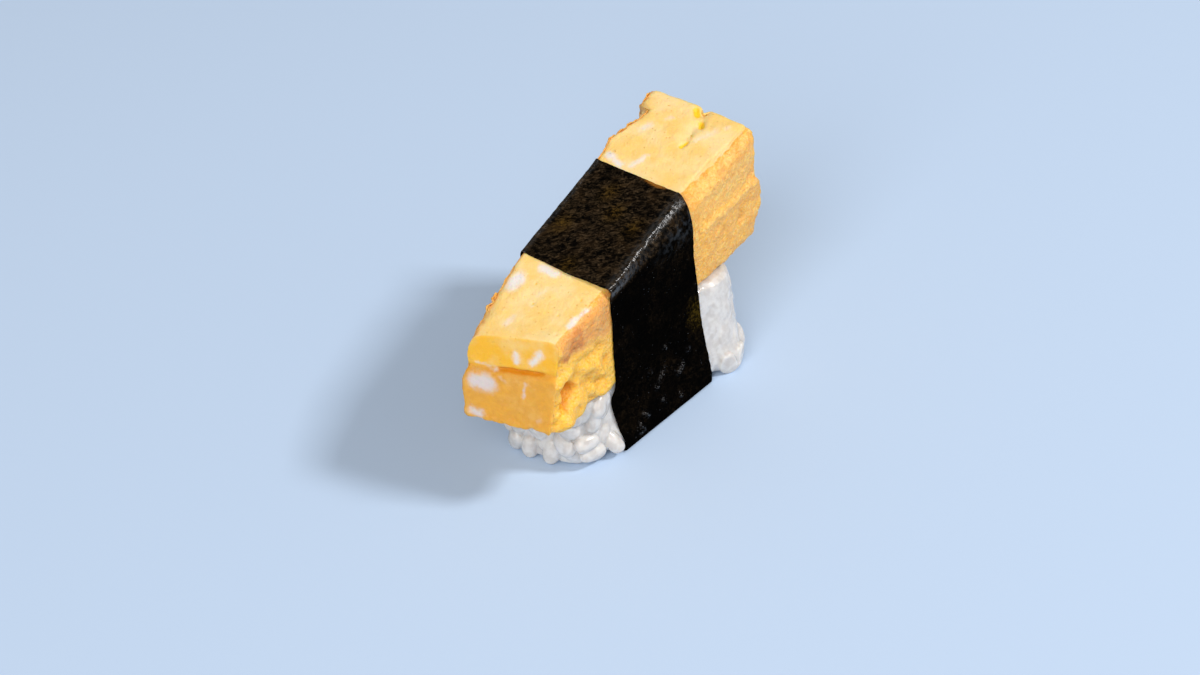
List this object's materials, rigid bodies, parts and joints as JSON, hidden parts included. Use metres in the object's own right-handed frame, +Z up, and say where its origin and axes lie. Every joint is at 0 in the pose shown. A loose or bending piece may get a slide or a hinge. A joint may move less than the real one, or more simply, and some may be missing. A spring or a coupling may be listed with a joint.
{
  "type": "tamago nigiri",
  "caption": "Piece of nigiri sushi: a thick block of rolled omelette tilted on pressed rice, tied round the middle with a wide strip of dark nori",
  "frame": {"origin": "under the middle of the whole nigiri, on the surface that it stands on", "axes": "+Z up; +X along the omelette block toward its raised far end, its cut end toward -X; +Y toward the left side"},
  "size_m": [0.0824, 0.0382, 0.0547],
  "materials": {
    "egg": "soft moist omelette, pale on its cuts and golden where it touched the pan",
    "nori": "crinkled fibrous seaweed sheet, glossy black-green",
    "rice": "moist, slightly translucent cooked grains"
  },
  "bodies": {
    "root": {"egg": "egg", "nori": "nori", "rice": "rice"}
  },
  "joints": []
}
